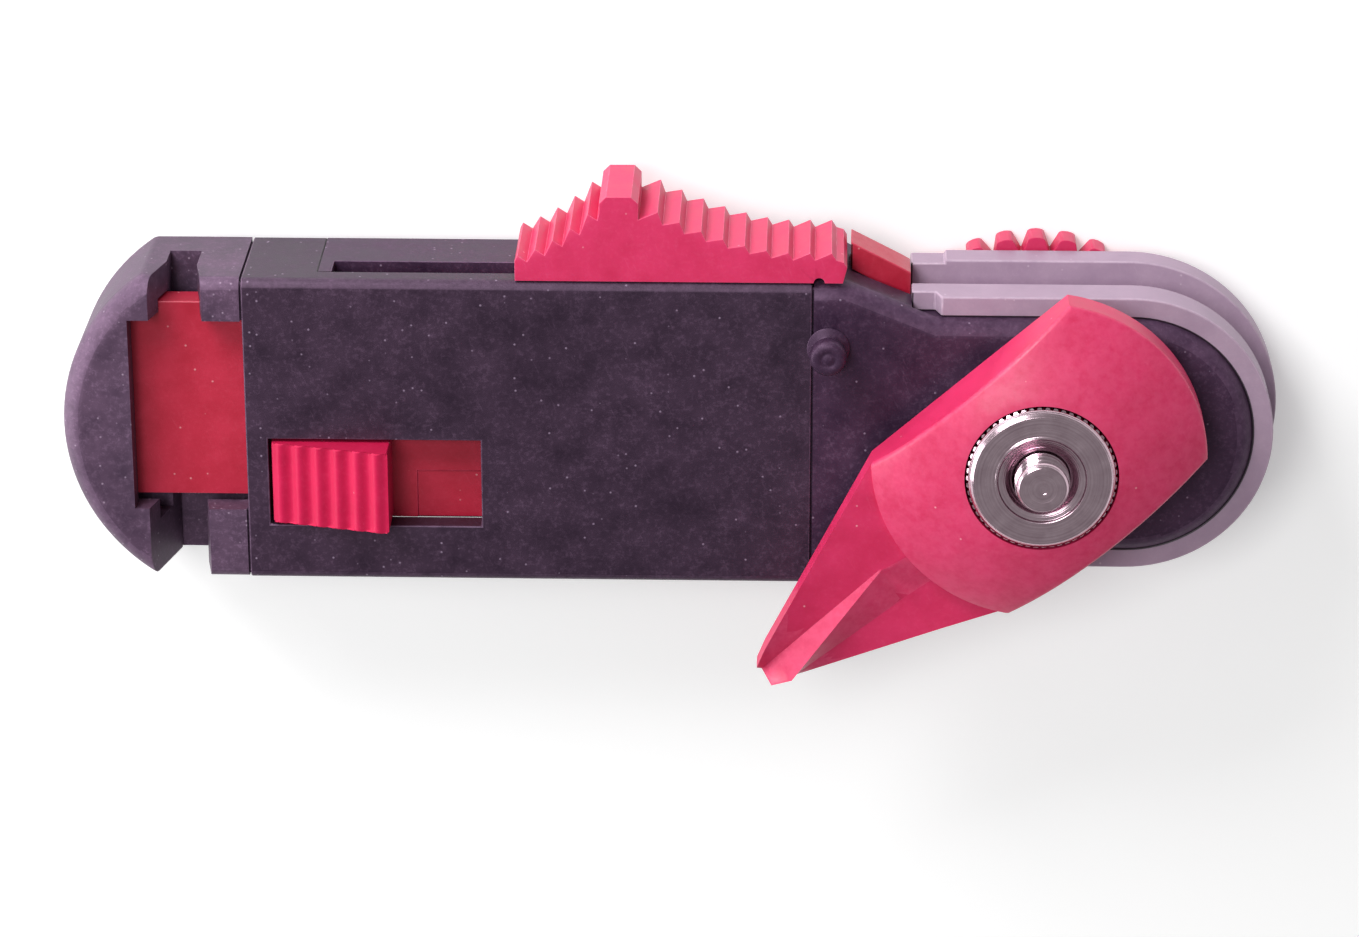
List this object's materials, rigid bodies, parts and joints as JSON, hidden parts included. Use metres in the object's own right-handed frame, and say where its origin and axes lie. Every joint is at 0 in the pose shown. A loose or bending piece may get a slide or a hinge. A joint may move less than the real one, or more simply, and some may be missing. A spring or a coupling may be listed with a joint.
{
  "type": "wire stripper",
  "caption": "Palm-sized stripper with a cross channel in its nose, a sprung gate, a thumb slide that drives a blade, and a turning beak lever on a grooved round head.",
  "frame": {"origin": "on the back plane that the tool lies on, under the middle of the case", "axes": "+X along the tool towards the round head, +Y towards the edge with the thumb slide, +Z out of the front face"},
  "size_m": [0.0889, 0.0361, 0.0218],
  "materials": {
    "black_plastic": "moulded satin, slightly mottled",
    "black_inner": "plain moulded",
    "grey_plastic": "moulded satin, lilac grey",
    "red_plastic": "moulded semi-gloss crimson",
    "red_deep": "moulded semi-gloss deep crimson",
    "nickel": "turned and nickel plated",
    "blade_steel": "ground",
    "spring_steel": "drawn wire",
    "screw_steel": "zinc plated",
    "bush_brass": "turned"
  },
  "bodies": {
    "case": {"front_cover": "black_plastic", "top_rail": "black_plastic", "slide_bed": "black_inner", "back_cover": "black_plastic", "back_screws": "screw_steel", "nose_block": "black_plastic", "fixed_blade": "blade_steel", "head_front_plate": "black_plastic", "head_back_plate": "black_plastic", "guide_rim": "grey_plastic", "ramp_block": "red_deep", "stop_post": "black_plastic", "axle_bush_front": "bush_brass", "axle_bush_back": "bush_brass"},
    "gate": {"gate_plate": "red_deep", "gate_button": "red_plastic", "gate_spring": "spring_steel"},
    "slide": {"thumb_slide": "red_plastic", "blade_carriage": "black_inner", "slide_pin": "screw_steel", "stripping_blade": "blade_steel", "blade_rivets": "bush_brass"},
    "rotor": {"toothed_wheel": "red_plastic", "axle_stud": "nickel", "lever_spacer": "black_inner", "beak_lever": "red_plastic"},
    "washer": {"nut_washer": "screw_steel"},
    "nut": {"knurled_nut": "nickel"}
  },
  "joints": [
    {"name": "gate_open", "type": "slide", "parent": "case", "child": "gate", "axis": [1, 0, 0], "range_m": [0, 0.0064], "stiffness_N_per_m": 150, "springref_m": -0.004, "deforming": ["gate_spring"]},
    {"name": "blade_push", "type": "slide", "parent": "case", "child": "slide", "axis": [-1, 0, 0], "range_m": [0, 0.013]},
    {"name": "lever_turn", "type": "hinge", "parent": "case", "child": "rotor", "pos_m": [0.0267, 0, 0.016], "axis": [0, 0, 1], "range_deg": [-41, 269]},
    {"name": "nut_rise", "type": "slide", "parent": "rotor", "child": "washer", "axis": [0, 0, 1], "range_m": [0, 0.00072]},
    {"name": "nut_turn", "type": "hinge", "parent": "washer", "child": "nut", "pos_m": [0.0267, 0, 0.019], "axis": [0, 0, 1], "range_deg": [0, 360]}
  ],
  "couplings": [
    {"joint": "nut_rise", "follows": "nut_turn", "m_per_rad": 0.00011141}
  ]
}
